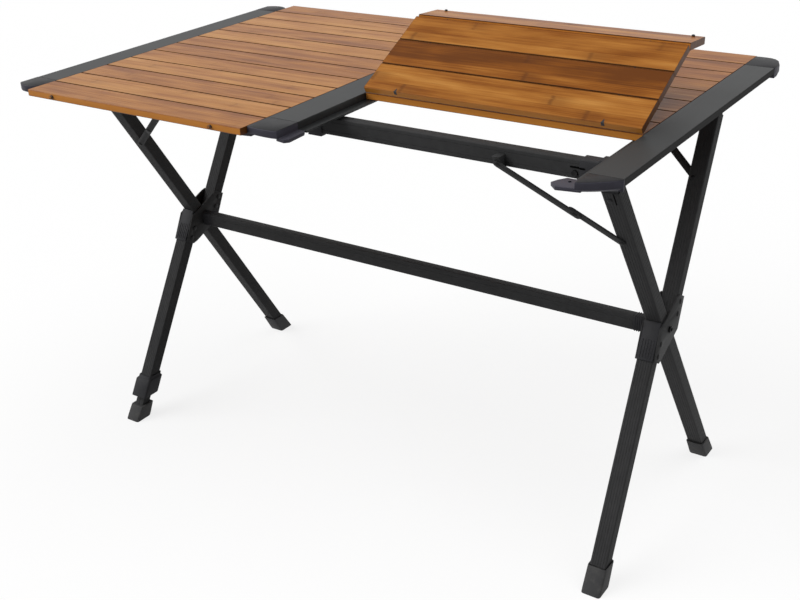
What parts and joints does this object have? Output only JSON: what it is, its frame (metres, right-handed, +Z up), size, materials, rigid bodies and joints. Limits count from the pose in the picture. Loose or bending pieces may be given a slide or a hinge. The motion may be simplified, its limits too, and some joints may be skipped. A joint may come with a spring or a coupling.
{
  "type": "camping table",
  "caption": "Roll-top camping table: bamboo slat mats in dark aluminium rails on a folding X frame with braces and a levelling foot.",
  "frame": {"origin": "on the floor under the middle of the table top", "axes": "+X along the table's length to its right, +Y from its front to its rear, +Z up"},
  "size_m": [1.092, 0.716, 0.8002],
  "materials": {
    "bamboo": "varnished laminated bamboo strips",
    "rail_aluminium": "satin dark grey powder coat",
    "frame_aluminium": "satin charcoal powder coat",
    "moulded_plastic": "fine matt texture",
    "rubber": "matt",
    "steel": "blackened"
  },
  "bodies": {
    "top": {"right_rail": "rail_aluminium", "left_rail": "rail_aluminium", "middle_rail": "rail_aluminium", "right_front_cap": "moulded_plastic", "right_rear_cap": "moulded_plastic", "left_front_cap": "moulded_plastic", "left_rear_cap": "moulded_plastic", "middle_front_cap": "moulded_plastic", "middle_rear_cap": "moulded_plastic", "right_rear_slats": "bamboo", "left_rear_slats": "bamboo"},
    "left_front_mat": {"left_front_slats": "bamboo"},
    "right_slat_4": {"right_slat_4": "bamboo"},
    "right_slat_3": {"right_slat_3": "bamboo"},
    "right_slat_2": {"right_slat_2": "bamboo"},
    "right_slat_1": {"right_slat_1": "bamboo"},
    "front_frame": {"front_beam": "frame_aluminium", "front_middle_clip": "moulded_plastic", "stretcher": "frame_aluminium", "right_through_leg": "frame_aluminium", "left_through_leg": "frame_aluminium", "right_stretcher_plug": "moulded_plastic", "left_stretcher_plug": "moulded_plastic", "right_pivot_bolt": "steel", "left_pivot_bolt": "steel", "right_front_brace_bracket": "frame_aluminium", "left_front_brace_bracket": "frame_aluminium", "right_front_beam_fitting": "moulded_plastic", "left_front_beam_fitting": "moulded_plastic", "right_front_brace_leg_link": "frame_aluminium", "left_front_brace_leg_link": "frame_aluminium", "right_front_brace_beam_link": "frame_aluminium", "left_front_brace_beam_link": "frame_aluminium", "right_rear_foot": "rubber", "left_rear_foot": "rubber"},
    "rear_frame": {"rear_beam": "frame_aluminium", "rear_middle_clip": "moulded_plastic", "right_upper_split_leg": "frame_aluminium", "left_upper_split_leg": "frame_aluminium", "right_outer_gusset_plate": "frame_aluminium", "left_outer_gusset_plate": "frame_aluminium", "right_inner_gusset_plate": "frame_aluminium", "left_inner_gusset_plate": "frame_aluminium", "right_hub_sleeve": "moulded_plastic", "left_hub_sleeve": "moulded_plastic", "right_rear_beam_fitting": "moulded_plastic", "left_rear_beam_fitting": "moulded_plastic", "right_rear_brace_bracket": "frame_aluminium", "left_rear_brace_bracket": "frame_aluminium", "right_rear_brace_leg_link": "frame_aluminium", "left_rear_brace_leg_link": "frame_aluminium", "right_rear_brace_beam_link": "frame_aluminium", "left_rear_brace_beam_link": "frame_aluminium", "right_lower_split_leg": "frame_aluminium", "left_lower_split_leg": "frame_aluminium", "right_front_foot": "rubber", "levelling_collar": "moulded_plastic"},
    "levelling_foot": {"levelling_inner_tube": "frame_aluminium", "levelling_boot": "rubber"}
  },
  "joints": [
    {"name": "front_frame_fold", "type": "hinge", "parent": "top", "child": "front_frame", "pos_m": [0, -0.2068, 0.6944], "axis": [-1, 0, 0], "range_deg": [0, 26]},
    {"name": "crossing_pivot", "type": "hinge", "parent": "front_frame", "child": "rear_frame", "pos_m": [0, 0, 0.358], "axis": [-1, 0, 0], "range_deg": [-52, 0]},
    {"name": "levelling_slide", "type": "slide", "parent": "rear_frame", "child": "levelling_foot", "axis": [-0.0238, -0.4924, -0.87], "range_m": [-0.012, 0.02]},
    {"name": "left_mat_fold", "type": "hinge", "parent": "top", "child": "left_front_mat", "pos_m": [0, -0.118, 0.709], "axis": [-1, 0, 0], "range_deg": [0, 153]},
    {"name": "right_mat_unfold", "type": "hinge", "parent": "top", "child": "right_slat_4", "pos_m": [0, -0.118, 0.709], "axis": [1, 0, 0], "range_deg": [0, 153]},
    {"name": "right_slat_3_flex", "type": "hinge", "parent": "right_slat_4", "child": "right_slat_3", "pos_m": [0, -0.06543, 0.73579], "axis": [-1, 0, 0], "range_deg": [0, 12]},
    {"name": "right_slat_2_flex", "type": "hinge", "parent": "right_slat_3", "child": "right_slat_2", "pos_m": [0, -0.01286, 0.76257], "axis": [-1, 0, 0], "range_deg": [0, 12]},
    {"name": "right_slat_1_bend", "type": "hinge", "parent": "right_slat_2", "child": "right_slat_1", "pos_m": [0, 0.0393, 0.79016], "axis": [1, 0, 0], "range_deg": [0, 30.6]}
  ],
  "couplings": [
    {"joint": "crossing_pivot", "follows": "front_frame_fold", "ratio": -2},
    {"joint": "right_slat_1_bend", "follows": "right_mat_unfold", "ratio": 0.2}
  ]
}
